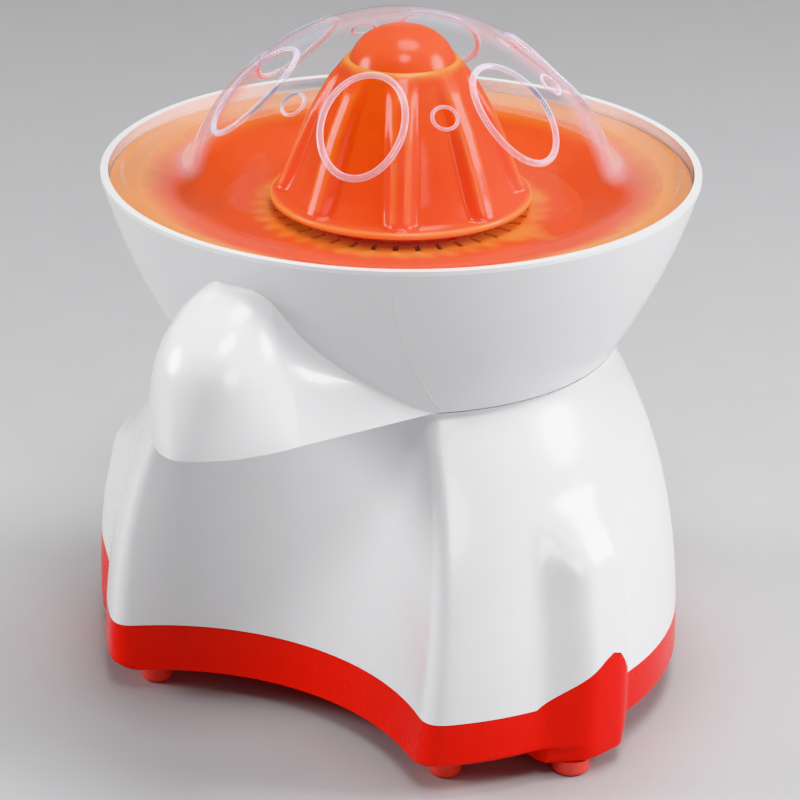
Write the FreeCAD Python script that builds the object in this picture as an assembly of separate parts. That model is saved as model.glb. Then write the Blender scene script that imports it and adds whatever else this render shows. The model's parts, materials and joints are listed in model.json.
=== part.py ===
import FreeCAD, Part
import math
import os

from FreeCAD import Vector

# Electric citrus press juicer, millimetres, +Z up.  The spout points along -Y.
# Everything is laid out around the drive axis; export() then moves it back by
# AXIS_Y so that the origin is the middle of the footprint box, on the table.

# ---- driving dimensions -------------------------------------------------
FOOT_H = 9.5            # underside of the base pan above the table
SHOE_Z = 5.0            # underside of the two side legs above the table
PAN_FLOOR = 12.0        # upper side of the base pan's floor
BAND_Z = 24.0           # top of the base pan's rim
PARTING_Z = 112.2       # top of the housing, where the juice bowl sits down
RIM_Z = 165.3           # top of the juice bowl
RIM_R = 90.0            # outside of the bowl's rim
PARTING_R = 66.5        # housing and bowl radius at the parting
BELL_R = 90.4           # radius of the housing's bell at its foot
BELL_SHIFT = 3.5        # how far the bell's foot is pushed towards the spout
HOOD_REACH = 118.0      # drive axis to the tip of the spout hood
WALL = 2.4              # moulded wall thickness
GAP = 0.3               # daylight between pieces that come apart
FIT = 0.05              # radial clearance of a running fit
SEAM = 0.15             # visible line between housing and base pan

AXIS_Y = (HOOD_REACH - RIM_R) / 2

# niche in front, where the glass stands
NICHE_R = 82.5
NICHE_FOOT_Y = 135.4    # centre of the niche's arc at the foot, ahead of the axis
NICHE_LEAN = 15.1       # how far that centre moves back by the parting
NICHE_ROUND = 7.0       # rounding of the niche's two upright edges, at the foot
NICHE_ROUND_TOP = 3.0
EDGE_R = 2.5            # rounding of the bottom edges
FLANK_POINTS = 64       # how finely an outline is drawn
CORNER_POINTS = 6
NICHE_POINTS = 10

# side legs: a ridge on the bell, at an angle from the spout
LEG_ANGLE = 75.0
LEG_PROUD = 8.0
LEG_FOOT_PROUD = 5.6    # the same, down at the foot
LEG_TAPER_Z = 50.0
LEG_CREST = 3.0         # half the angle of the ridge's blunt crest
LEG_FRONT = 11.0        # degrees from the crest to where its front flank ends
LEG_BACK = 7.0
LEG_TOP_Z = 84.5
LEG_RISE = 18.0
LEG_CAP_ANGLE = 70.0    # middle of the red cap on each leg
LEG_CAP_TOP = 38.8
SHOE_R = 16.0
SHOE_AT = (84.0, 71.5)

# spout hood, row by row: height above the parting, half width at its back,
# half width where the nose begins, distance of that place and of the tip from the axis
HOOD_ROWS = [(0.0, 45.7, 24.5, 91.0, HOOD_REACH), (6.0, 43.0, 23.8, 90.6, 117.0),
             (12.0, 39.0, 22.7, 90.2, 115.6),
             (24.0, 22.5, 19.0, 89.5, 112.0), (32.0, 12.0, 15.5, 89.0, 106.0),
             (37.5, 8.5, 12.0, 86.0, 98.5), (41.5, 5.5, 8.0, 82.0, 88.8)]
HOOD_ROUND = 24.0       # from this height up the nose is fully round
HOOD_FLOOR = 3.0
HOOD_BACK_Y = 46.0
NOSE_POINTS = 8         # how finely each side of the nose is drawn
NOZZLE_Y = 90.0
NOZZLE_R = 6.0
NOZZLE_DROP = 7.0

# dust cover
DOME_R = 68.4
DOME_Z = 143.3
COVER_T = 2.0
COVER_FLANGE_Z = 161.8
OVAL_COUNT = 6
OVAL_START = 18.0
OVAL_HALF_W = 13.0
OVAL_HALF_H = 17.7
OVAL_TILT = 47.0        # elevation of an oval hole's axis, seen from the dome's centre
VENT_R = 4.0
VENT_TILT = 48.5

# reamer
REAMER_BASE_R = 39.5
REAMER_BASE_Z = 155.5
RIB_START = -13.0       # angle of the first rib about +Z, from +X
REAMER_TOP_Z = 208.2
SPLIT_Z = 198.5         # where the small cone's tip comes out of the large one
RIBS = 8

# strainer
COLLAR_R = 29.0         # inside of the strainer's collar
STRAINER_FLANGE_Z = 159.5
SLOT_COUNT = 36
SLOT_FROM = 32.5
SLOT_TO = 38.5

# drive
SHAFT_R = 4.0
SHAFT_BOTTOM = 58.5
SHAFT_TOP = 185.0
FLAT_HALF = 3.0         # half width across the shaft's two flats
MODULE = 1.0
OUTPUT_TEETH = 60
PINION_TEETH = 12
WHEEL_TEETH = 48
MOTOR_TEETH = 10
MESH_EASE = 0.15
OUTPUT_Z = 66.0
WHEEL_Z = 77.0
GEAR_T = 8.0
WHEEL_T = 6.0
PLATE_R = 54.0
LOWER_PLATE_Z = 61.0
UPPER_PLATE_Z = 88.0
PLATE_T = 2.5
MOTOR_ANGLE = 75.0      # direction of the motor from the intermediate gear
MOTOR_TOP = 57.0
BEARING_FIT = 0.09      # the motor shaft's radial play in its brackets
STATOR_HALF = 22.0
STATOR_T = 20.0

WHEEL_DISTANCE = MODULE * (OUTPUT_TEETH + PINION_TEETH) / 2 + MESH_EASE
MOTOR_DISTANCE = MODULE * (WHEEL_TEETH + MOTOR_TEETH) / 2 + MESH_EASE
WHEEL_POS = Vector(0, WHEEL_DISTANCE, 0)
MOTOR_POS = WHEEL_POS + Vector(MOTOR_DISTANCE * math.sin(math.radians(MOTOR_ANGLE)),
                               -MOTOR_DISTANCE * math.cos(math.radians(MOTOR_ANGLE)), 0)

POST_R = 4.5
POSTS = [(60.0, side * angle) for angle in (50.0, 100.0) for side in (-1, 1)]
GEARBOX_POSTS = [(47.0, 60.0), (47.0, -60.0), (48.0, -140.0)]

STATOR_Z = MOTOR_TOP - 9.0 - STATOR_T
BORE_R = 11.5
SWITCH_Z = 53.0

# feet: distance from the drive axis, angle from the spout, radius, height
FEET = {
    "foot_front_left": (77.5, -43.5, 4.8, FOOT_H), "foot_front_right": (77.5, 43.5, 4.8, FOOT_H),
    "foot_side_left": (90.0, -68.0, 5.8, SHOE_Z), "foot_side_right": (90.0, 68.0, 5.8, SHOE_Z),
    "foot_rear_left": (72.0, -145.0, 4.8, FOOT_H), "foot_rear_right": (72.0, 145.0, 4.8, FOOT_H),
}
INLET_R = 4.0
INLET_Z = 17.5
LEAD_R = 2.6            # bore for a lead
REAR_Y = 89.0
INLET_WALL_Y = 87.5

AXIS_UP = Vector(0, 0, 1)


# ---- small helpers ------------------------------------------------------
def spot(radius, angle, z=0.0):
    """A point at a radius and an angle from the spout, seen from above."""
    turn = math.radians(angle)
    return Vector(radius * math.sin(turn), -radius * math.cos(turn), z)


def rod(radius, z0, z1, at=Vector()):
    return Part.makeCylinder(radius, z1 - z0, Vector(at.x, at.y, z0))


def ring(inner, outer, z0, z1, at=Vector()):
    return rod(outer, z0, z1, at).cut(rod(inner, z0 - 1, z1 + 1, at))


def block(x0, x1, y0, y1, z0, z1):
    return Part.makeBox(x1 - x0, y1 - y0, z1 - z0, Vector(x0, y0, z0))


def turned(edges):
    """A solid of revolution about the drive axis from edges in the XZ plane."""
    return Part.Face(Part.Wire(edges)).revolve(Vector(), AXIS_UP, 360)


def turned_polygon(points):
    corners = [Vector(r, 0, z) for r, z in points]
    return turned(Part.makePolygon(corners + corners[:1]).Edges)


def line(a, b):
    return Part.makeLine(Vector(a[0], 0, a[1]), Vector(b[0], 0, b[1]))


def bezier(*points):
    curve = Part.BezierCurve()
    curve.setPoles([Vector(r, 0, z) for r, z in points])
    return curve.toShape()


def export(name, shape):
    placed = shape.copy()
    placed.translate(Vector(0, AXIS_Y, 0))
    placed.exportStep("parts/" + name + ".step")


# ---- the outer body: a bell with a niche and two side legs ---------------
def bell_radius(t):
    """Radius and height of the bell at curve parameter t, 0 at the foot."""
    foot = (BELL_R, FOOT_H)
    low = (BELL_R, FOOT_H + 78.6)
    high = (PARTING_R - 9.5, PARTING_Z - 1.4)
    top = (PARTING_R, PARTING_Z)
    k = [(1 - t) ** 3, 3 * (1 - t) ** 2 * t, 3 * (1 - t) * t * t, t ** 3]
    return [sum(w * p[i] for w, p in zip(k, (foot, low, high, top))) for i in (0, 1)]


def smooth(t):
    t = min(max(t, 0.0), 1.0)
    return t * t * (3 - 2 * t)


def leg_height(z):
    """How far a leg's ridge stands out of the bell at height z."""
    taper = (LEG_PROUD - LEG_FOOT_PROUD) * max(LEG_TAPER_Z - z, 0.0) / LEG_TAPER_Z
    return LEG_PROUD * smooth((LEG_TOP_Z - z) / LEG_RISE) - taper


def leg_share(angle):
    """1 on a leg's crest, 0 where its flanks end."""
    off = abs(angle) - LEG_ANGLE
    reach = LEG_BACK if off > 0 else LEG_FRONT
    return 1 - smooth((abs(off) - LEG_CREST) / reach)


def foot_round(z, bottom):
    """How far a rounded bottom edge has drawn in at height z."""
    drop = min(max(bottom + EDGE_R - z, 0.0), EDGE_R)
    return EDGE_R - math.sqrt(EDGE_R ** 2 - drop ** 2)


def bell_point(radius, angle, z):
    share = leg_share(angle)
    grown = radius + leg_height(z) * share
    grown -= (1 - share) * foot_round(z, FOOT_H) + share * foot_round(z, SHOE_Z)
    return spot(grown, angle, z) - Vector(0, BELL_SHIFT * (PARTING_Z - z) / (PARTING_Z - FOOT_H), 0)


def niche_point(radius, angle, z):
    lean = NICHE_LEAN * (z - FOOT_H) / (PARTING_Z - FOOT_H)
    turn = math.radians(angle)
    return Vector(radius * math.sin(turn), radius * math.cos(turn) - NICHE_FOOT_Y + lean, z)


def section(radius, z, inset):
    """Closed outline of bell, legs and niche at one height, corners rounded."""
    flank_r = radius - inset
    niche_r = NICHE_R + inset
    centre = niche_point(0, 0, z)
    low, high = 20.0, 80.0
    for step in range(40):
        middle = (low + high) / 2
        if bell_point(flank_r, middle, z).sub(centre).Length < niche_r:
            low = middle
        else:
            high = middle
    corner = bell_point(flank_r, low, z)
    reach = NICHE_ROUND + (NICHE_ROUND_TOP - NICHE_ROUND) * (z - FOOT_H) / (PARTING_Z - FOOT_H)
    start = low + math.degrees(reach / flank_r)
    corner_turn = math.degrees(math.atan2(corner.x, corner.y - centre.y))
    stop = corner_turn - math.degrees(reach / niche_r)
    half = [bell_point(flank_r, 180 + (start - 180) * k / FLANK_POINTS, z) for k in range(FLANK_POINTS + 1)]
    for k in range(1, CORNER_POINTS):
        t = k / CORNER_POINTS
        end = niche_point(niche_r, stop, z)
        half.append(half[FLANK_POINTS] * (1 - t) ** 2 + corner * (2 * t * (1 - t)) + end * t ** 2)
    half += [niche_point(niche_r, stop * (1 - k / NICHE_POINTS), z) for k in range(NICHE_POINTS + 1)]
    other = [Vector(-point.x, point.y, point.z) for point in reversed(half[1:-1])]
    return half + other


def loft(rows):
    """A solid through outlines that all have the same number of points."""
    steps = [0.0]
    ring_points = rows[len(rows) // 2]
    for a, b in zip(ring_points, ring_points[1:] + ring_points[:1]):
        steps.append(steps[-1] + a.sub(b).Length)
    wires = []
    for points in rows:
        curve = Part.BSplineCurve()
        curve.interpolate(points, PeriodicFlag=True, Parameters=steps)
        wires.append(Part.Wire(curve.toShape()))
    return Part.makeLoft(wires, True, False)


def body(inset):
    """The whole outer body, or the same body with its walls moved inwards."""
    rows = [section(BELL_R, z, inset) for z in (SHOE_Z, SHOE_Z + 0.7, SHOE_Z + EDGE_R, FOOT_H)]
    rows += [section(*bell_radius(step / 80), inset) for step in (0.5, 1.2, 2.5)]
    rows += [section(*bell_radius(step / 16), inset) for step in range(1, 17)]
    return loft(rows)


def leg_cap(side, grow):
    """The wedge of each leg that belongs to the red base pan."""
    top = LEG_CAP_TOP
    corners = [(-17, BAND_Z - 1), (-17, BAND_Z), (3.5, top - 1.4), (6.5, top), (9.5, top - 1),
               (11.5, top - 4), (17, BAND_Z), (17, BAND_Z - 1)]
    points = [Vector(70, side * along, z + grow) for along, z in corners]
    face = Part.Face(Part.makePolygon(points + points[:1]))
    wedge = face.extrude(Vector(50, 0, 0))
    wedge.rotate(Vector(), AXIS_UP, side * LEG_CAP_ANGLE - 90)
    return wedge


def pan_zone(grow):
    slab = block(-130, 130, -150, 130, 0, BAND_Z + grow)
    return slab.fuse(leg_cap(-1, grow)).fuse(leg_cap(1, grow))


def below_floor():
    """What is taken away under the pan, leaving the shoes of the two legs."""
    under = block(-130, 130, -150, 130, 0, FOOT_H)
    for side in (-1, 1):
        under = under.cut(rod(SHOE_R, 0, FOOT_H + 1, spot(SHOE_AT[0], side * SHOE_AT[1])))
    return under


# ---- housing and base pan -------------------------------------------------
def make_housing(outer, inner):
    shell = outer.cut(pan_zone(SEAM))
    shell = shell.cut(inner.common(block(-130, 130, -150, 130, 0, PARTING_Z - WALL)))
    posts = [rod(POST_R, PAN_FLOOR + SEAM, PARTING_Z - 1, spot(*post)) for post in POSTS]
    posts += [rod(POST_R, UPPER_PLATE_Z + PLATE_T, PARTING_Z - 1, spot(*post)) for post in GEARBOX_POSTS]
    posts.append(rod(11.0, PARTING_Z - 1, PARTING_Z + 15))
    shell = shell.multiFuse(posts)
    shell = shell.cut(rod(SHAFT_R + 1.2, PARTING_Z - 6, PARTING_Z + 20))
    shell = shell.cut(rod(8.0, PARTING_Z + 11, PARTING_Z + 16))
    for post in POSTS:
        shell = shell.cut(rod(1.4, 9, 30, spot(*post)))
    for post in GEARBOX_POSTS:
        shell = shell.cut(rod(1.2, UPPER_PLATE_Z, PARTING_Z - 4, spot(*post)))
    return shell


def make_base_pan(outer, inner):
    pan = outer.common(pan_zone(0)).cut(below_floor())
    pan = pan.cut(inner.common(block(-130, 130, -150, 130, PAN_FLOOR, 60)))
    for post in POSTS:
        pan = pan.cut(rod(2.0, 0, 20, spot(*post))).cut(rod(4.0, 0, FOOT_H + 1.2, spot(*post)))
    for row in range(-3, 4):
        for column in (-1, 1):
            x = column * 14
            pan = pan.cut(block(x - 10, x + 10, row * 8 - 1.5, row * 8 + 1.5, 0, 20))
    for distance, angle, radius, height in FEET.values():
        pan = pan.cut(rod(2.5, 0, 20, spot(distance, angle)))
    return pan.cut(rear_hole(INLET_R))


def rear_hole(radius, length=24.0):
    return Part.makeCylinder(radius, length, Vector(0, REAR_Y - length, INLET_Z), Vector(0, 1, 0))


def make_foot(distance, angle, radius, height):
    """A rubber foot with a barbed stem that snaps through the pan's floor."""
    at = spot(distance, angle)
    foot = rod(radius, 0, height, at)
    foot = foot.makeFillet(1.5, [edge for edge in foot.Edges if edge.BoundBox.ZMax < 0.1])
    stem = rod(2.4, height - 1, PAN_FLOOR + 2, at)
    return foot.fuse(stem).fuse(rod(4.0, PAN_FLOOR + 0.1, PAN_FLOOR + 2, at))


def make_cord_inlet():
    """A flanged bush in the rear wall, for a mains lead."""
    bush = rear_hole(INLET_R - 0.05, 16.0)
    collar = Part.makeCylinder(INLET_R + 3, 2.0, Vector(0, INLET_WALL_Y, INLET_Z), Vector(0, 1, 0))
    lead_hole = Part.makeCylinder(LEAD_R, 40.0, Vector(0, REAR_Y - 30, INLET_Z), Vector(0, 1, 0))
    return bush.fuse(collar).cut(lead_hole)


# ---- juice bowl with its spout hood -----------------------------------------
def bowl_outline(inset):
    """The bowl's curved flank from the parting up to the rim, as one edge."""
    foot = (PARTING_R - inset, PARTING_Z + GAP)
    low = (PARTING_R + 10.4 - inset, PARTING_Z + 18.1)
    high = (RIM_R - 7.2 - inset, RIM_Z - 24.9)
    return [foot, low, high, (RIM_R - inset, RIM_Z - 1.3)]


def bowl_block(inset, z0):
    """The space inside the bowl's flank, as a solid of revolution from z0 up."""
    points = bowl_outline(inset)
    edges = [line((0, points[0][1]), points[0]), bezier(*points), line(points[3], (points[3][0], RIM_Z)),
             line((points[3][0], RIM_Z), (0, RIM_Z)), line((0, RIM_Z), (0, points[0][1]))]
    return turned(edges).common(rod(RIM_R + 1, z0, RIM_Z + 1))


def hood_section(row, inset):
    """Plan outline of the hood at one height: a back, two flanks and a nose."""
    height, back, side, start, tip = row
    back, side, tip = back - inset, side - inset, tip - inset
    fullness = min(height / HOOD_ROUND, 1.0)
    nose = []
    for k in range(NOSE_POINTS + 1):
        s = math.sin(math.pi / 2 * k / NOSE_POINTS)
        narrow = (1 - s ** (1.2 + 0.8 * fullness)) ** (0.6 - 0.1 * fullness)
        nose.append(Vector(side * narrow, -(start + (tip - start) * s), 0))
    nose += [Vector(-point.x, point.y, 0) for point in reversed(nose[:-1])]
    curve = Part.BSplineCurve()
    curve.interpolate(nose)
    corners = [Vector(-back, -HOOD_BACK_Y, 0), Vector(back, -HOOD_BACK_Y, 0)]
    wire = Part.Wire([Part.makeLine(corners[1], nose[0]), curve.toShape(),
                      Part.makeLine(nose[-1], corners[0]), Part.makeLine(*corners)])
    wire.translate(Vector(0, 0, PARTING_Z + GAP + height))
    return wire


def hood(inset, first=0.0):
    """The hood as a solid from a height above the parting up."""
    share = first / HOOD_ROWS[1][0]
    foot = tuple(a + (b - a) * share for a, b in zip(*HOOD_ROWS[:2]))
    return Part.makeLoft([hood_section(row, inset) for row in [foot] + HOOD_ROWS[1:]], True, False)


def make_juice_bowl():
    floor = PARTING_Z + GAP + 3.5
    cavity = bowl_block(WALL, floor)
    shell = bowl_block(0, PARTING_Z).cut(cavity)
    shell = shell.cut(rod(RIM_R - 2.3, STRAINER_FLANGE_Z - GAP, RIM_Z + 1))
    cover = hood(0).cut(hood(WALL, HOOD_FLOOR)).cut(bowl_block(WALL / 2, PARTING_Z))
    nozzle = rod(NOZZLE_R + 2, PARTING_Z - NOZZLE_DROP, PARTING_Z + 2, Vector(0, -NOZZLE_Y, 0))
    boss = rod(14.5, PARTING_Z + GAP, PARTING_Z + 22)
    bowl = shell.multiFuse([cover, nozzle, boss])
    bowl = bowl.cut(rod(NOZZLE_R, PARTING_Z - 20, PARTING_Z + 12, Vector(0, -NOZZLE_Y, 0)))
    bowl = bowl.cut(block(-10, 10, -84, -50, floor, floor + 16))
    return bowl.cut(rod(12.0, PARTING_Z - 1, PARTING_Z + 40))


# ---- strainer, dust cover, reamer -------------------------------------------
def make_strainer():
    """A dish whose slots lie under the reamer's skirt, with a collar round the hub."""
    z = STRAINER_FLANGE_Z
    edge = RIM_R - 2.3 - GAP
    dish = turned_polygon([(edge, z), (edge, z + 2), (78.5, z + 2), (55, z - 7),
                           (COLLAR_R + 2, z - 8), (COLLAR_R + 2, z - 6), (COLLAR_R, z - 6),
                           (COLLAR_R, z - 10), (55, z - 9), (77.5, z)])
    slots = []
    for index in range(SLOT_COUNT):
        slot = block(SLOT_FROM, SLOT_TO, -0.8, 0.8, z - 15, z + 5)
        slot.rotate(Vector(), AXIS_UP, index * 360 / SLOT_COUNT)
        slots.append(slot)
    return dish.cut(slots)


def dome_profile():
    """Half section of the clear cover: flange, brim, fillet and spherical dome."""
    z = COVER_FLANGE_Z
    top = z + COVER_T
    inner = DOME_R - COVER_T
    join = math.asin((top + 5.0 - DOME_Z) / DOME_R)
    outer_foot = (DOME_R * math.cos(join), DOME_Z + DOME_R * math.sin(join))
    inner_foot = (inner * math.cos(join), DOME_Z + inner * math.sin(join))
    middle = (join + math.pi / 2) / 2
    outer_mid = (DOME_R * math.cos(middle), DOME_Z + DOME_R * math.sin(middle))
    inner_mid = (inner * math.cos(middle), DOME_Z + inner * math.sin(middle))
    edge = RIM_R - 2.3 - GAP
    slope = (math.sin(join) * 5.0, math.cos(join) * 5.0)
    return [
        line((0, DOME_Z + DOME_R), (0, DOME_Z + inner)),
        Part.Arc(*[Vector(r, 0, h) for r, h in ((0, DOME_Z + inner), inner_mid, inner_foot)]).toShape(),
        bezier(inner_foot, (inner_foot[0] + slope[0], inner_foot[1] - slope[1]), (67.0, z), (71.0, z)),
        line((71.0, z), (edge, z)), line((edge, z), (edge, z + 3.3)), line((edge, z + 3.3), (84.0, z + 3.3)),
        line((84.0, z + 3.3), (83.0, top)), line((83.0, top), (72.0, top)),
        bezier((72.0, top), (67.0, top), (outer_foot[0] + slope[0], outer_foot[1] - slope[1]), outer_foot),
        Part.Arc(*[Vector(r, 0, h) for r, h in (outer_foot, outer_mid, (0, DOME_Z + DOME_R))]).toShape(),
    ]


def dome_hole(angle, tilt, half_w, half_h):
    """An oval drill through the dome along a line from the dome's centre."""
    drill = Part.makeCylinder(half_w, 60, Vector(0, 0, 40))
    stretch = FreeCAD.Matrix()
    stretch.scale(half_h / half_w, 1, 1)
    drill = drill.transformGeometry(stretch)
    drill.rotate(Vector(), Vector(0, 1, 0), 90 - tilt)
    drill.rotate(Vector(), AXIS_UP, angle - 90)
    drill.translate(Vector(0, 0, DOME_Z))
    return drill


def make_dust_cover():
    cover = turned(dome_profile())
    pitch = 360 / OVAL_COUNT
    for index in range(OVAL_COUNT):
        angle = OVAL_START + index * pitch
        cover = cover.cut(dome_hole(angle, OVAL_TILT, OVAL_HALF_W, OVAL_HALF_H))
        cover = cover.cut(dome_hole(angle + pitch / 2, VENT_TILT, VENT_R, VENT_R))
    return cover


def cone_profile(points):
    curve = Part.BSplineCurve()
    curve.interpolate([Vector(r, 0, z) for r, z in points])
    return curve.toShape()


def ribs(count, inner, outer, start):
    """Upright ribs that follow a cone, widest at the foot."""
    fins = []
    for index in range(count):
        fin = block(inner, outer, -1.6, 1.6, REAMER_BASE_Z, REAMER_TOP_Z)
        fin.rotate(Vector(), AXIS_UP, start + index * 360 / count)
        fins.append(fin)
    return fins


def cone_solid(points):
    top = points[0]
    foot = points[-1]
    return turned([cone_profile(points), line(foot, (0, foot[1])), line((0, foot[1]), (0, top[1]))]
                  + ([line((0, top[1]), top)] if top[0] > 0 else []))


# outlines of the reamer, radius and height: rib crests, skin, and the small cone
LARGE_RIB = [(17.4, SPLIT_Z), (22.4, 192.0), (27.6, 182.0), (32.0, 172.0),
             (35.6, 162.5), (37.8, REAMER_BASE_Z)]
LARGE_WALL = [(17.4, SPLIT_Z), (21.0, 192.0), (25.8, 182.0), (29.6, 172.0),
              (33.0, 162.5), (35.2, REAMER_BASE_Z)]
SMALL_TIP = [(0.0, REAMER_TOP_Z), (8.8, 206.4), (13.2, 203.0), (15.7, SPLIT_Z + 0.3), (18.1, 192.0),
             (22.5, 182.0), (25.8, 172.0), (27.3, 162.5), (27.8, REAMER_BASE_Z)]


def offset_profile(points, amount):
    return [(r - amount, z) for r, z in points]


def make_large_cone():
    skin = cone_solid(LARGE_WALL)
    fins = [fin.common(cone_solid(LARGE_RIB)) for fin in ribs(RIBS, 12.0, REAMER_BASE_R, RIB_START)]
    flange = rod(REAMER_BASE_R, REAMER_BASE_Z, REAMER_BASE_Z + 1.8)
    hollow = cone_solid(offset_profile(LARGE_WALL, 2.0)).common(rod(60, 0, SPLIT_Z + 1))
    cone = skin.multiFuse(fins + [flange])
    return cone.cut(hollow).cut(cone_solid([(r + GAP, z) for r, z in SMALL_TIP[3:]]))


def make_small_cone():
    cone = cone_solid(SMALL_TIP)
    hollow = cone_solid([(r - 2.2, z) for r, z in SMALL_TIP[3:]])
    hub = rod(9.0, PARTING_Z + 23, SPLIT_Z + 1)
    cone = cone.cut(hollow).fuse(hub)
    return cone.cut(shaft_bore(SHAFT_R + FIT, FLAT_HALF + FIT, PARTING_Z + 20, SHAFT_TOP + 1))


# ---- drive ----------------------------------------------------------------
def shaft_bore(radius, half, z0, z1):
    """A round bar with two flats."""
    return rod(radius, z0, z1).common(block(-half, half, -radius, radius, z0, z1))


def make_drive_shaft():
    shaft = rod(SHAFT_R, SHAFT_BOTTOM, PARTING_Z + 19)
    shaft = shaft.cut(block(FLAT_HALF, 9, -9, 9, 64.8, 86)).cut(block(-9, -FLAT_HALF, -9, 9, 64.8, 86))
    shaft = shaft.fuse(shaft_bore(SHAFT_R, FLAT_HALF, PARTING_Z + 18, SHAFT_TOP))
    return shaft.fuse(rod(6.5, 86.0, UPPER_PLATE_Z - 1.5 - GAP))


def gear(teeth, z0, z1, at, tooth_angle, bore):
    """A spur gear with straight-flanked teeth; one tooth points at tooth_angle."""
    pitch_r = MODULE * teeth / 2
    root, tip = pitch_r - 1.2 * MODULE, pitch_r + 0.9 * MODULE
    step = 2 * math.pi / teeth
    points = []
    for index in range(teeth):
        middle = math.radians(tooth_angle) + index * step
        for radius, offset in ((root, -0.30), (tip, -0.12), (tip, 0.12), (root, 0.30)):
            angle = middle + offset * step
            points.append(Vector(radius * math.cos(angle), radius * math.sin(angle), 0))
    face = Part.Face(Part.makePolygon(points + points[:1]))
    solid = face.extrude(Vector(0, 0, z1 - z0))
    solid.translate(Vector(at.x, at.y, z0))
    return solid.cut(bore)


def bearing(a, b):
    """Direction from a to b in degrees about +Z."""
    return math.degrees(math.atan2(b.y - a.y, b.x - a.x))


def make_output_gear():
    bore = shaft_bore(SHAFT_R + FIT, FLAT_HALF + FIT, OUTPUT_Z - 5, OUTPUT_Z + 20)
    wheel = gear(OUTPUT_TEETH, OUTPUT_Z, OUTPUT_Z + GEAR_T, Vector(), bearing(Vector(), WHEEL_POS), bore)
    wheel = wheel.cut(ring(10.0, 25.0, OUTPUT_Z + 5, OUTPUT_Z + 9))
    return wheel.fuse(rod(8.0, OUTPUT_Z - 1, OUTPUT_Z + GEAR_T + 2).cut(bore))


def make_intermediate_gear():
    bore = rod(1.5 + FIT, 40, 120, WHEEL_POS)
    gap_angle = bearing(WHEEL_POS, Vector()) + 180 / PINION_TEETH
    pinion = gear(PINION_TEETH, OUTPUT_Z - 1, WHEEL_Z + 1, WHEEL_POS, gap_angle, bore)
    wheel = gear(WHEEL_TEETH, WHEEL_Z, WHEEL_Z + WHEEL_T, WHEEL_POS, bearing(WHEEL_POS, MOTOR_POS), bore)
    return wheel.fuse(pinion).fuse(rod(4.0, WHEEL_Z, WHEEL_Z + WHEEL_T + 1, WHEEL_POS).cut(bore))


def make_motor_pinion():
    bore = rod(1.6, 40, 120, MOTOR_POS)
    gap_angle = bearing(MOTOR_POS, WHEEL_POS) + 180 / MOTOR_TEETH
    return gear(MOTOR_TEETH, WHEEL_Z - 0.5, WHEEL_Z + WHEEL_T + 0.5, MOTOR_POS, gap_angle, bore)


def make_plate(z, shaft_hole):
    plate = rod(PLATE_R, z, z + PLATE_T).cut(block(-70, 70, -80, -35, z - 1, z + 5))
    plate = plate.cut(rod(shaft_hole, z - 1, z + 5))
    plate = plate.cut(rod(1.5, z - 1, z + 5, WHEEL_POS)).cut(rod(4.0, z - 1, z + 5, MOTOR_POS))
    for post in GEARBOX_POSTS:
        plate = plate.cut(rod(1.6, z - 1, z + 5, spot(*post)))
    return plate


def make_bush(z, height, flange_z):
    bush = ring(SHAFT_R + FIT, 7.0, z, z + height)
    return bush.fuse(ring(SHAFT_R + FIT, 9.0, flange_z, flange_z + 1.0))


def make_return_spring():
    """Compression spring between the output gear's hub and the shaft's collar."""
    bottom, top, wire_r, mean_r = OUTPUT_Z + GEAR_T + 2, 86.0, 0.45, 5.4
    free = top - bottom - 2 * wire_r - 0.1
    helix = Part.makeHelix(free / 4, free, mean_r)
    start = Part.Wire(Part.makeCircle(wire_r, Vector(mean_r, 0, 0), Vector(0, 1, 0)))
    coil = Part.Wire(helix.Edges).makePipeShell([start], True, True)
    coil.translate(Vector(0, 0, bottom + wire_r + 0.05))
    return coil


def stator_block(z0, z1, half):
    return block(MOTOR_POS.x - half, MOTOR_POS.x + half, MOTOR_POS.y - half, MOTOR_POS.y + half, z0, z1)


def make_stator():
    core = stator_block(STATOR_Z, STATOR_Z + STATOR_T, STATOR_HALF)
    core = core.cut(rod(BORE_R, 0, 100, MOTOR_POS))
    for dx in (-1, 1):
        for dy in (-1, 1):
            at = MOTOR_POS + Vector(dx * 18, dy * 18, 0)
            core = core.cut(rod(1.7, 0, 100, at))
    for dx in (-1, 1):
        slot = block(MOTOR_POS.x + dx * 15 - 2, MOTOR_POS.x + dx * 15 + 2,
                     MOTOR_POS.y - 12, MOTOR_POS.y + 12, 0, 100)
        core = core.cut(slot)
    return core


def make_coils():
    """Two windings, each looped through a slot and round the core's limb."""
    loops = []
    for dx in (-1, 1):
        x_in, x_out = MOTOR_POS.x + dx * 15, MOTOR_POS.x + dx * 25
        low, high = min(x_in, x_out) - 1.8, max(x_in, x_out) + 1.8
        outer = block(low, high, MOTOR_POS.y - 11.5, MOTOR_POS.y + 11.5, STATOR_Z - 4, STATOR_Z + STATOR_T + 4)
        x0, x1 = sorted((MOTOR_POS.x + dx * 17, MOTOR_POS.x + dx * 22.05))
        core = block(x0 - 0.05, x1 + 0.05, MOTOR_POS.y - 12, MOTOR_POS.y + 12, STATOR_Z - 0.1,
                     STATOR_Z + STATOR_T + 0.1)
        loops.append(outer.cut(core))
    return Part.makeCompound(loops)


def make_rotor():
    core = rod(BORE_R - 0.5, STATOR_Z, STATOR_Z + STATOR_T, MOTOR_POS)
    return core.fuse(ring(6, BORE_R - 1, STATOR_Z - 2, STATOR_Z + STATOR_T + 2, MOTOR_POS)).cut(
        rod(1.6, 0, 100, MOTOR_POS))


def make_motor_shaft():
    return rod(1.6, STATOR_Z - 8, WHEEL_Z + WHEEL_T + 1.5, MOTOR_POS)


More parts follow.
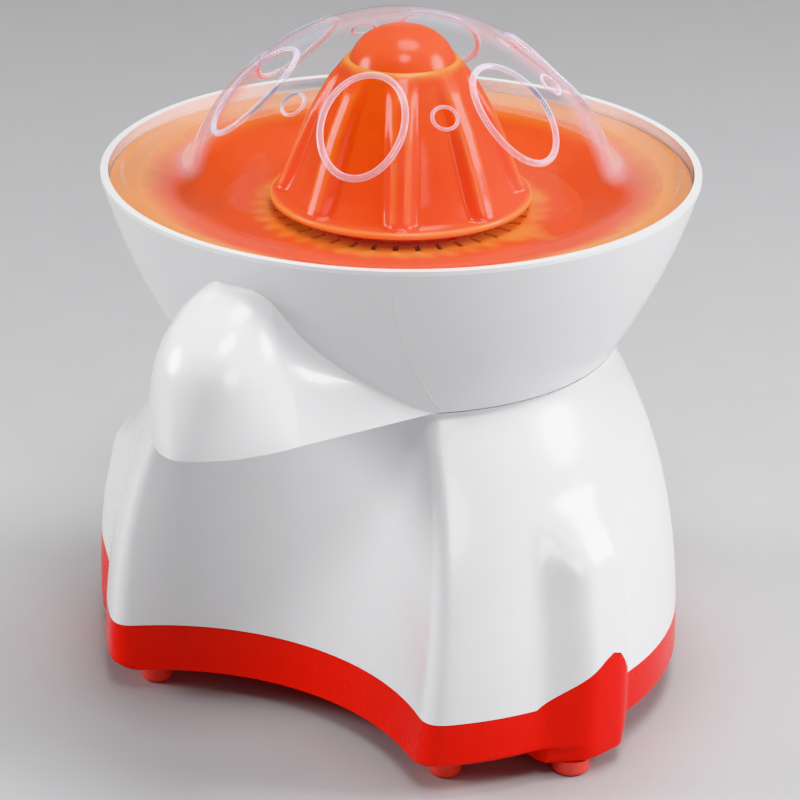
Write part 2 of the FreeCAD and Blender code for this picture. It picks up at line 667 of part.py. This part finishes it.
def make_motor_bracket(z, side):
    """A strap across the core with a bearing cup, on two legs."""
    low, high = min(z, z - side * 6.0), max(z, z - side * 6.0) + 2.0
    legs = [rod(3.0, low, high, MOTOR_POS + Vector(dx * 18, dy * 18, 0))
            for dx, dy in ((-1, -1), (1, 1), (-1, 1), (1, -1))]
    strap = block(MOTOR_POS.x - 21, MOTOR_POS.x + 21, MOTOR_POS.y - 21, MOTOR_POS.y + 21, z, z + 2.0)
    for dx in (-1, 1):
        strap = strap.cut(block(MOTOR_POS.x + dx * 21 - 14, MOTOR_POS.x + dx * 21 + 14,
                                MOTOR_POS.y - 13, MOTOR_POS.y + 13, z - 1, z + 3))
    return strap.multiFuse(legs).cut(rod(1.6 + BEARING_FIT, 0, 100, MOTOR_POS))


def make_switch_body():
    box = block(-5, 5, -11, 11, SWITCH_Z - 11, SWITCH_Z)
    bracket = block(-5, 5, 11, 14, SWITCH_Z - 11, LOWER_PLATE_Z)
    return box.fuse(bracket).cut(rod(2.0 + FIT, SWITCH_Z - 8, SWITCH_Z + 1))


def make_switch_plunger():
    return rod(2.0, SWITCH_Z - 5, SHAFT_BOTTOM - GAP)


def make_screws(places, z_head, length, head_r, shank_r, up):
    """Pan-head screws: head below z_head when they point up, above it otherwise."""
    screws = []
    for place in places:
        at = spot(*place)
        head = rod(head_r, z_head - 2.0, z_head, at) if up else rod(head_r, z_head, z_head + 2.0, at)
        shank = rod(shank_r, z_head, z_head + length, at) if up else rod(shank_r, z_head - length, z_head, at)
        slot_z = z_head - 2.5 if up else z_head + 1.0
        cross = block(at.x - 0.4, at.x + 0.4, at.y - 1.5, at.y + 1.5, slot_z, slot_z + 1.5)
        screws.append(head.fuse(shank).cut(cross))
    return Part.makeCompound(screws)


def make_gearbox_spacers():
    return Part.makeCompound([ring(1.7, 4.0, LOWER_PLATE_Z + PLATE_T, UPPER_PLATE_Z, spot(*post))
                              for post in GEARBOX_POSTS])


def make_axle():
    return rod(1.5, LOWER_PLATE_Z, UPPER_PLATE_Z + PLATE_T, WHEEL_POS)


def make_shaft_seal():
    return ring(SHAFT_R + FIT, 8.0, PARTING_Z + 11, PARTING_Z + 15)


outer = body(0)
inner = body(WALL)

NODES = {
    "dust_cover": make_dust_cover(),
    "large_cone": make_large_cone(),
    "small_cone": make_small_cone(),
    "strainer": make_strainer(),
    "juice_bowl": make_juice_bowl(),
    "housing": make_housing(outer, inner),
    "base_pan": make_base_pan(outer, inner),
    "cord_inlet": make_cord_inlet(),
    "drive_shaft": make_drive_shaft(),
    "output_gear": make_output_gear(),
    "intermediate_gear": make_intermediate_gear(),
    "intermediate_axle": make_axle(),
    "motor_pinion": make_motor_pinion(),
    "motor_shaft": make_motor_shaft(),
    "motor_rotor": make_rotor(),
    "motor_stator": make_stator(),
    "motor_coils": make_coils(),
    "motor_upper_bracket": make_motor_bracket(STATOR_Z + STATOR_T + 6, 1),
    "motor_lower_bracket": make_motor_bracket(STATOR_Z - 8, -1),
    "gearbox_lower_plate": make_plate(LOWER_PLATE_Z, 7.0),
    "gearbox_upper_plate": make_plate(UPPER_PLATE_Z, 7.0),
    "gearbox_spacers": make_gearbox_spacers(),
    "lower_bush": make_bush(LOWER_PLATE_Z - 1, 4.5, LOWER_PLATE_Z - 1),
    "upper_bush": make_bush(UPPER_PLATE_Z - 1, 4.5, UPPER_PLATE_Z + PLATE_T),
    "shaft_seal": make_shaft_seal(),
    "return_spring": make_return_spring(),
    "switch_body": make_switch_body(),
    "switch_plunger": make_switch_plunger(),
    "base_screws": make_screws(POSTS, FOOT_H + 1.2, 14.0, 3.5, 1.4, True),
    "gearbox_screws": make_screws(GEARBOX_POSTS, LOWER_PLATE_Z, 36.0, 3.0, 1.2, True),
}
for foot_name, foot_place in FEET.items():
    NODES[foot_name] = make_foot(*foot_place)

os.makedirs("parts", exist_ok=True)
for node_name, node_shape in NODES.items():
    export(node_name, node_shape)
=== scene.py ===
import json
import math

import bmesh
import bpy
from mathutils import Matrix, Vector


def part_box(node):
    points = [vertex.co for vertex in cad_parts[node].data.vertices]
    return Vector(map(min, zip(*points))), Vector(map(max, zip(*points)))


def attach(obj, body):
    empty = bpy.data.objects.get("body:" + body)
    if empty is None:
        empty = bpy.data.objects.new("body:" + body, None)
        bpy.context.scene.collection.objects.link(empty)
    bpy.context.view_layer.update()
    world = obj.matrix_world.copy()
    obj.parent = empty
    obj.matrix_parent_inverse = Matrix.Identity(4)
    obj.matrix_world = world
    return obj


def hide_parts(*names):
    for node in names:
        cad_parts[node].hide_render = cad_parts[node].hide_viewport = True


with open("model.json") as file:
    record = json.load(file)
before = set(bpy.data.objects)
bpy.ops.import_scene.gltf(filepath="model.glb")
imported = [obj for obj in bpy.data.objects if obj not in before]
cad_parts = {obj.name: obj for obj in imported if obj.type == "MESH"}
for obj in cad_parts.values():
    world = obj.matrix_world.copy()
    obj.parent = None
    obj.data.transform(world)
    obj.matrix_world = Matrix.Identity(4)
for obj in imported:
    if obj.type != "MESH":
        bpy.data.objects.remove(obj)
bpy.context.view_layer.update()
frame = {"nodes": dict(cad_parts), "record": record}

# ---- places taken from the frame, in metres ---------------------------------
bowl_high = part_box("juice_bowl")[1]
cover_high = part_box("dust_cover")[1]
cone_low, cone_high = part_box("large_cone")
AXIS_Y = (cone_low.y + cone_high.y) / 2         # the drive axis stands at x = 0
FOOT_Z = 0.0095                                 # underside of the base pan
DOME_R = 0.0684                                 # outside of the cover's dome
DOME_Z = cover_high.z - DOME_R                  # centre of the cover's dome
BOWL_H = 0.0531                                 # the bowl's height above the housing
PARTING_Z = bowl_high.z - BOWL_H                # top of the housing


# ---- materials ----------------------------------------------------------------
def node(tree, kind, **values):
    made = tree.nodes.new(kind)
    for key, value in values.items():
        if key in made.inputs:
            made.inputs[key].default_value = value
        else:
            setattr(made, key, value)
    return made


def ramp(tree, source, low, high, dark, light):
    """Maps a 0-1 value between low and high onto dark to light."""
    made = tree.nodes.new("ShaderNodeMapRange")
    made.inputs["From Min"].default_value = low
    made.inputs["From Max"].default_value = high
    made.inputs["To Min"].default_value = dark
    made.inputs["To Max"].default_value = light
    tree.links.new(source, made.inputs["Value"])
    return made.outputs["Result"]


def blend_colour(tree, factor, first, second):
    made = tree.nodes.new("ShaderNodeMix")
    made.data_type = "RGBA"
    made.inputs[6].default_value = (*first, 1)
    made.inputs[7].default_value = (*second, 1)
    tree.links.new(factor, made.inputs["Factor"])
    return made.outputs[2]


BLOTCH = 45.0                                   # how many blotches to a metre, roughly


def material(name, colour, rough, grain=900.0, depth=0.00002, stretch=(1, 1, 1), shade=0.95,
             rough_spread=0.05, edge_wear_and_highlight=0.05, crest=None, edges=(0.52, 0.62), **shader):
    """A Principled material with grain bump, uneven gloss, faint blotches, and edges painted lighter,
    partly as wear and partly as a painted highlight.
    """
    mat = bpy.data.materials.new(name)
    mat.use_nodes = True
    tree = mat.node_tree
    bsdf = tree.nodes["Principled BSDF"]
    for key, value in shader.items():
        bsdf.inputs[key.replace("_", " ")].default_value = value
    coords = tree.nodes.new("ShaderNodeTexCoord")
    mapping = tree.nodes.new("ShaderNodeMapping")
    mapping.inputs["Scale"].default_value = stretch
    tree.links.new(coords.outputs["Object"], mapping.inputs["Vector"])
    fine = node(tree, "ShaderNodeTexNoise", Scale=grain, Detail=4.0, Roughness=0.6)
    broad = node(tree, "ShaderNodeTexNoise", Scale=BLOTCH, Detail=5.0, Roughness=0.65)
    tree.links.new(mapping.outputs["Vector"], fine.inputs["Vector"])
    tree.links.new(coords.outputs["Object"], broad.inputs["Vector"])
    bump = node(tree, "ShaderNodeBump", Strength=0.6, Distance=depth)
    tree.links.new(fine.outputs["Fac"], bump.inputs["Height"])
    tree.links.new(bump.outputs["Normal"], bsdf.inputs["Normal"])
    glossy, dull = max(rough - rough_spread, 0.01), rough + rough_spread
    gloss = ramp(tree, broad.outputs["Fac"], 0.3, 0.7, glossy, dull)
    tree.links.new(gloss, bsdf.inputs["Roughness"])
    blotch = ramp(tree, broad.outputs["Fac"], 0.35, 0.65, 0.0, 1.0)
    dark = tuple(c * shade for c in colour)
    body = blend_colour(tree, blotch, dark, colour)
    geometry = tree.nodes.new("ShaderNodeNewGeometry")
    # convex edges blend towards a lighter colour: partly edge wear, partly a painted highlight
    edge = ramp(tree, geometry.outputs["Pointiness"], *edges, 0.0, edge_wear_and_highlight)
    mix = tree.nodes.new("ShaderNodeMix")
    mix.data_type = "RGBA"
    # the edge colour, lighter than the body unless one is given: partly wear, partly a painted highlight
    mix.inputs[7].default_value = (*(crest or [min(1.0, 0.6 + 0.4 * c) for c in colour]), 1)
    tree.links.new(edge, mix.inputs["Factor"])
    tree.links.new(body, mix.inputs[6])
    tree.links.new(mix.outputs[2], bsdf.inputs["Base Color"])
    return mat


def clear(name, facing, grazing, start):
    """A clear plastic: nearly see-through face on, milky and bright where it is seen edge on."""
    mat = material(name, (0.86, 0.85, 0.99), 0.04, grain=300.0, depth=0.000004, shade=0.99,
                   rough_spread=0.015, edge_wear_and_highlight=0.0, IOR=1.49, Coat_Weight=1.0, Coat_Roughness=0.03)
    tree = mat.node_tree
    weight = node(tree, "ShaderNodeLayerWeight", Blend=0.5)
    alpha = ramp(tree, weight.outputs["Facing"], start, 1.0, facing, grazing)
    tree.links.new(alpha, tree.nodes["Principled BSDF"].inputs["Alpha"])
    return mat


WHITE = (0.82, 0.82, 0.83)
RED = (0.86, 0.009, 0.0006)
ORANGE = (1.0, 0.105, 0.007)
RIB_HIGHLIGHT_ORANGE = (1.0, 0.36, 0.07)                        # painted highlight: a lighter orange painted along the cone's ribs and edges
MATERIALS = {
    "white_shell": material("white_shell", WHITE, 0.26, depth=0.000008, shade=0.997, edge_wear_and_highlight=0.0,
                            rough_spread=0.012, Coat_Weight=0.3, Coat_Roughness=0.1),
    # edges painted a lighter red, partly wear and partly a painted highlight
    "red_shell": material("red_shell", RED, 0.26, depth=0.00001, crest=(1.0, 0.06, 0.02),
                          Coat_Weight=0.12, Coat_Roughness=0.08, Specular_IOR_Level=0.35),
    # the ribs and edges carry a strong painted highlight in a lighter orange
    "orange_clear": material("orange_clear", ORANGE, 0.24, depth=0.00001, shade=0.93, rough_spread=0.03,
                             edge_wear_and_highlight=0.9, crest=RIB_HIGHLIGHT_ORANGE, edges=(0.505, 0.545), Coat_Weight=0.15,
                             Coat_Roughness=0.06, Specular_IOR_Level=0.35, Subsurface_Weight=0.5,
                             Subsurface_Scale=0.008, Subsurface_Radius=(1.0, 0.35, 0.05)),
    "clear_cover": clear("clear_cover", 0.012, 0.75, 0.63),
    "foot_rubber": material("foot_rubber", (0.85, 0.10, 0.08), 0.5, grain=1600.0, depth=0.00004),
    "seal_rubber": material("seal_rubber", (0.03, 0.03, 0.03), 0.6, grain=1600.0, depth=0.00004),
    "bright_steel": material("bright_steel", (0.62, 0.62, 0.64), 0.22, stretch=(1, 1, 0.05),
                             Metallic=1.0),
    "zinc_steel": material("zinc_steel", (0.66, 0.67, 0.70), 0.32, stretch=(0.05, 1, 1), shade=0.8,
                           rough_spread=0.1, Metallic=1.0),
    "lamination_steel": material("lamination_steel", (0.27, 0.27, 0.30), 0.4, stretch=(0.02, 0.02, 1.6),
                                 depth=0.0002, Metallic=1.0),
    "copper_winding": material("copper_winding", (0.68, 0.26, 0.09), 0.3, stretch=(0.02, 0.02, 1.8),
                               depth=0.0003, Metallic=1.0),
    "bronze_bush": material("bronze_bush", (0.60, 0.42, 0.18), 0.42, grain=2200.0, depth=0.00005,
                            Metallic=1.0),
    "gear_nylon": material("gear_nylon", (0.86, 0.84, 0.77), 0.42, Subsurface_Weight=0.2,
                           Subsurface_Scale=0.002),
    "switch_black": material("switch_black", (0.03, 0.03, 0.035), 0.42, depth=0.00004),
    "cord_bush": material("cord_bush", (0.80, 0.80, 0.80), 0.45, depth=0.00004),
}
CLEAR_RIM = clear("clear_rim", 0.22, 1.0, 0.2)  # milkier, for the beads round the cover's openings


def coat(obj, slot):
    obj.data.materials.clear()
    obj.data.materials.append(MATERIALS[slot])


for part in frame["record"]["subparts"]:
    coat(frame["nodes"][part["node"]], part["material_slot"])


# ---- moulded pieces ---------------------------------------------------------------
def smooth(t):
    t = min(max(t, 0.0), 1.0)
    return t * t * (3 - 2 * t)


def shell(name, rows, slot, body, *replaced):
    """A closed skin through rings of points; the first and last ring meet, so the wall has two sides."""
    mesh = bpy.data.meshes.new(name)
    bm = bmesh.new()
    rings = [[bm.verts.new(point) for point in row] for row in rows]
    for lower, upper in zip(rings, rings[1:] + rings[:1]):
        for i in range(len(lower)):
            j = (i + 1) % len(lower)
            bm.faces.new((lower[i], lower[j], upper[j], upper[i]))
    bmesh.ops.recalc_face_normals(bm, faces=bm.faces)
    for face in bm.faces:
        face.smooth = True
    bm.to_mesh(mesh)
    bm.free()
    made = bpy.data.objects.new(name, mesh)
    bpy.context.scene.collection.objects.link(made)
    coat(made, slot)
    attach(made, body)
    if replaced:
        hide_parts(*replaced)
    return made


def follow(profile, z):
    """Radius of a profile, a list of (radius, height) from the top down, at height z."""
    for (r0, z0), (r1, z1) in zip(profile, profile[1:]):
        if z >= z1:
            t = (z0 - z) / (z0 - z1)
            return r0 + (r1 - r0) * t
    return profile[-1][0]


RIB_PITCH = 45.0                                # degrees from rib to rib
RIB_TURN = 32.0                                 # one rib looks this way, from the spout
RIB_CREST = 0.0013                              # half the crest's width
RIB_FLANK = 0.0042                              # width of the slope down to the wall
SKIRT_T = 0.0018
SKIRT_LIP = ((SKIRT_T, 0.0006), (0.0014, 0.0001), (0.0009, 0.0), (0.0, 0.0002))   # height, distance in
CONE_WALL = 0.0020
TIP_HOLE_R = 0.0160                             # the small cone's tip comes out here
CONE_POINTS = 288                               # points round each ring
CONE_STEPS = 30                                 # rings down the outside


def large_cone():
    """The ribbed slip-on cone, with soft fillets between its ribs, on a flat round skirt."""
    base, top = cone_low.z, cone_high.z
    ribs = [(0.0168, top), (0.0221, base + 0.0365), (0.0276, base + 0.0265), (0.0320, base + 0.0165),
            (0.0356, base + 0.0070), (0.0380, base + SKIRT_T)]
    wall = [(0.0167, top), (0.0200, base + 0.0365), (0.0247, base + 0.0265), (0.0284, base + 0.0165),
            (0.0318, base + 0.0070), (0.0345, base + SKIRT_T)]
    heights = [top - (top - base - SKIRT_T) * (k / CONE_STEPS) for k in range(CONE_STEPS + 1)]
    rows = []

    def ring(z, radius_of):
        row = []
        for i in range(CONE_POINTS):
            angle = 2 * math.pi * i / CONE_POINTS
            off = (math.degrees(angle) - RIB_TURN + RIB_PITCH / 2) % RIB_PITCH - RIB_PITCH / 2
            radius = radius_of(off)
            row.append((radius * math.sin(angle), AXIS_Y - radius * math.cos(angle), z))
        rows.append(row)

    for z in heights:
        inner, outer = follow(wall, z), follow(ribs, z)

        def outside(off):
            away = abs(math.radians(off)) * inner
            return inner + (outer - inner) * (1 - smooth((away - RIB_CREST) / RIB_FLANK))
        ring(z, outside)
    skirt_r = cone_high.x
    for up, inset in SKIRT_LIP:
        ring(base + up, lambda off: skirt_r - inset)
    for z in [base] + heights[::-3]:
        bore = follow(wall, z) - CONE_WALL
        ring(z, lambda off: bore)
    ring(top, lambda off: TIP_HOLE_R)
    shell("large_cone_ribbed", rows, "orange_clear", "large_cone", "large_cone")


large_cone()


BEAD_POINTS = 12


def tube(name, path, outward, half_w, half_t, slot, body):
    """A rounded bead along a closed path; outward gives the bead's upright at each point."""
    rows = []
    for i, point in enumerate(path):
        along = (path[(i + 1) % len(path)] - path[i - 1]).normalized()
        upright = outward[i]
        across = along.cross(upright).normalized()
        rows.append([point + across * half_w * math.cos(turn) + upright * half_t * math.sin(turn)
                     for turn in (2 * math.pi * k / BEAD_POINTS for k in range(BEAD_POINTS))])
    return shell(name, rows, slot, body)


HOLE_COUNT = 12                                 # ovals and vents by turns, round the cover
HOLE_START = 18.0                               # degrees from the spout to the first oval
OVAL_TILT, OVAL_SIZE = 47.0, (0.0130, 0.0177)   # degrees above the horizon; half width, half height
VENT_TILT, VENT_SIZE = 48.5, (0.0040, 0.0040)
OVAL_BEAD, VENT_BEAD = (0.0011, 0.0009), (0.0006, 0.0003)   # half width; how far inside the edge
BEAD_FLAT = 0.8                                 # a bead's thickness over its width
BEAD_DEPTH = 0.0006                             # a bead's middle lies this far under the dome's skin
RIM_POINTS = 64


def dome_rims():
    """The raised rims round the cover's six ovals and six small vents."""
    centre = Vector((0, AXIS_Y, DOME_Z))
    for index in range(HOLE_COUNT):
        oval = index % 2 == 0
        turn = math.radians(HOLE_START + 360.0 / HOLE_COUNT * index)
        tilt = math.radians(OVAL_TILT if oval else VENT_TILT)
        wide, high = OVAL_SIZE if oval else VENT_SIZE
        level = Vector((math.sin(turn), -math.cos(turn), 0))
        aim = level * math.cos(tilt) + Vector((0, 0, math.sin(tilt)))
        side = Vector((math.cos(turn), math.sin(turn), 0))
        rise = aim.cross(side)
        path, outward = [], []
        bead, reach = OVAL_BEAD if oval else VENT_BEAD
        for k in range(RIM_POINTS):
            t = 2 * math.pi * k / RIM_POINTS
            a, b = (wide - reach) * math.cos(t), (high - reach) * math.sin(t)
            depth = math.sqrt((DOME_R - BEAD_DEPTH) ** 2 - a * a - b * b)
            spoke = aim * depth + side * a + rise * b
            path.append(centre + spoke)
            outward.append(spoke.normalized())
        rim = tube("cover_rim_%d" % index, path, outward, bead, BEAD_FLAT * bead, "clear_cover", "cover")
        rim.data.materials.clear()
        rim.data.materials.append(CLEAR_RIM)


dome_rims()


LINE_STEPS = 24
LINE_W, LINE_T = 0.00022, 0.00016               # half width and half thickness of a mould line
LINE_ROOT = 0.0006                              # its way back runs this deep in the wall


def mould_line(name, first, last, top, bottom):
    """A faint raised line on the bowl, running down from one angle and height to another."""
    bowl = frame["nodes"]["juice_bowl"]
    path, outward = [], []
    for k in range(LINE_STEPS + 1):
        t = k / LINE_STEPS
        turn = math.radians(first + (last - first) * t * t)
        level = Vector((math.sin(turn), -math.cos(turn), 0))
        start = Vector((0, AXIS_Y, top + (bottom - top) * t)) + level * 0.2
        hit = bowl.ray_cast(start, -level)
        path.append(hit[1])
        outward.append(hit[2])
    back = [point - upright * LINE_ROOT for point, upright in zip(path, outward)]
    tube(name, path + back[::-1], outward + outward[::-1], LINE_W, LINE_T, "white_shell", "bowl")


mould_line("bowl_mould_line", 31.0, 42.0, bowl_high.z - 0.006, PARTING_Z + 0.002)


# ---- floor, light, camera -------------------------------------------------------
FLOOR_HALF = 4.0                                # a floor eight metres square


def floor():
    mesh = bpy.data.meshes.new("floor")
    bm = bmesh.new()
    corners = [(x * FLOOR_HALF, y * FLOOR_HALF, 0) for x, y in ((-1, -1), (1, -1), (1, 1), (-1, 1))]
    bm.faces.new([bm.verts.new(corner) for corner in corners])
    bm.to_mesh(mesh)
    bm.free()
    made = bpy.data.objects.new("floor", mesh)
    bpy.context.scene.collection.objects.link(made)
    mesh.materials.append(material("floor_paper", (0.5, 0.5, 0.51), 0.7, grain=700.0, depth=0.00005,
                                   shade=0.99))


def softbox(name, place, aim, size, power):
    data = bpy.data.lights.new(name, "AREA")
    data.shape = "DISK"
    data.size = size
    data.energy = power
    made = bpy.data.objects.new(name, data)
    made.location = place
    made.rotation_mode = "QUATERNION"
    made.rotation_quaternion = (Vector(aim) - Vector(place)).to_track_quat("-Z", "Y")
    bpy.context.scene.collection.objects.link(made)


def sky(strength):
    world = bpy.data.worlds.new("studio")
    world.use_nodes = True
    back = world.node_tree.nodes["Background"]
    back.inputs["Color"].default_value = (1.0, 1.0, 1.0, 1)
    back.inputs["Strength"].default_value = strength
    bpy.context.scene.world = world


def camera(distance, azimuth, elevation, roll, height, lens, shift):
    """Azimuth is from the spout towards +X; the camera aims at the drive axis, at the given height."""
    a, e = math.radians(azimuth), math.radians(elevation)
    back = Vector((math.sin(a) * math.cos(e), -math.cos(a) * math.cos(e), math.sin(e)))
    right = Vector((math.cos(a), math.sin(a), 0))
    up = back.cross(right)
    c, s = math.cos(math.radians(roll)), math.sin(math.radians(roll))
    turned_right = right * c + up * s
    turned_up = up * c - right * s
    data = bpy.data.cameras.new("camera")
    data.lens = lens
    data.sensor_width = 36.0
    data.shift_x, data.shift_y = shift
    data.clip_end = 50.0
    made = bpy.data.objects.new("camera", data)
    aim = Vector((0, AXIS_Y, height))
    turn = Matrix((turned_right, turned_up, back)).transposed()
    made.matrix_world = Matrix.Translation(aim + back * distance) @ turn.to_4x4()
    bpy.context.scene.collection.objects.link(made)
    bpy.context.scene.camera = made


floor()
softbox("left", (-1.2, -0.7, 0.6), (0, 0, 0.1), 0.6, 11.0)
softbox("right", (1.15, 0.7, 0.75), (0, 0, 0.1), 0.7, 15.0)
softbox("top", (0.1, 0.2, 1.5), (0, 0, 0.1), 0.7, 9.0)
softbox("front", (0.5, -0.6, 1.4), (0, 0, 0.1), 0.5, 7.0)
softbox("low", (1.0, -0.75, 0.5), (0, 0, 0.08), 0.5, 1.8)
sky(0.23)
camera(distance=0.962, azimuth=32.19, elevation=23.52, roll=0.67, height=FOOT_Z + 0.07934,
       lens=139.72, shift=(0.0017, -0.0037))
bpy.context.scene.view_settings.view_transform = "Khronos PBR Neutral"
